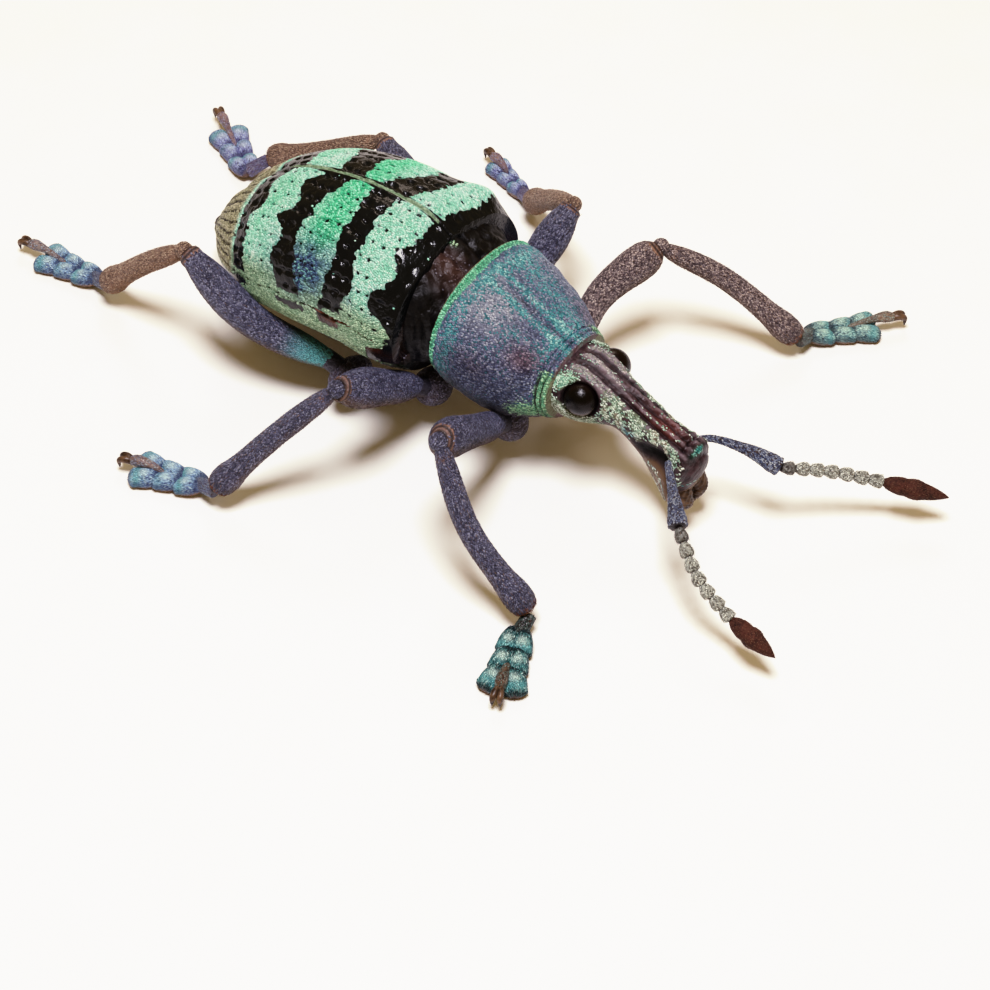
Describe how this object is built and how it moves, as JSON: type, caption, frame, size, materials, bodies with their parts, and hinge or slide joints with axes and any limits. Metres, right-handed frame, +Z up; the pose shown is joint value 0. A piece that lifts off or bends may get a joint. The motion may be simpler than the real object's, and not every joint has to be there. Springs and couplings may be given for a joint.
{
  "type": "weevil model",
  "caption": "Life-size still model of a standing banded weevil with spread legs, long snout and elbowed antennae, for a museum case or a natural history scene.",
  "frame": {"origin": "centre of the bounding box at floor level, where all the feet stand", "axes": "+Z up; the beetle faces -Y, so +Y runs to its rear; +X towards its own left side"},
  "size_m": [0.031, 0.0458, 0.0106],
  "materials": {
    "elytra": "satin",
    "thorax": "satin",
    "underside": "matte",
    "head": "satin",
    "eye": "gloss",
    "leg": "satin",
    "foot": "satin",
    "claw": "gloss",
    "feeler": "matte",
    "club": "matte"
  },
  "bodies": {
    "root": {"abdomen": "underside", "claws_front_left": "claw", "claws_front_right": "claw", "claws_hind_left": "claw", "claws_hind_right": "claw", "claws_middle_left": "claw", "claws_middle_right": "claw", "club_left": "club", "club_right": "club", "coxa_front_left": "leg", "coxa_front_right": "leg", "coxa_hind_left": "leg", "coxa_hind_right": "leg", "coxa_middle_left": "leg", "coxa_middle_right": "leg", "elytron_left": "elytra", "elytron_right": "elytra", "eye_left": "eye", "eye_right": "eye", "femur_front_left": "leg", "femur_front_right": "leg", "femur_hind_left": "leg", "femur_hind_right": "leg", "femur_middle_left": "leg", "femur_middle_right": "leg", "funicle_left": "feeler", "funicle_right": "feeler", "head": "head", "mandible_left": "claw", "mandible_right": "claw", "mesonotum": "thorax", "prothorax": "thorax", "pterothorax": "underside", "rostrum": "head", "scape_left": "leg", "scape_right": "leg", "tarsus_front_left": "foot", "tarsus_front_right": "foot", "tarsus_hind_left": "foot", "tarsus_hind_right": "foot", "tarsus_middle_left": "foot", "tarsus_middle_right": "foot", "tibia_front_left": "leg", "tibia_front_right": "leg", "tibia_hind_left": "leg", "tibia_hind_right": "leg", "tibia_middle_left": "leg", "tibia_middle_right": "leg"}
  },
  "joints": []
}
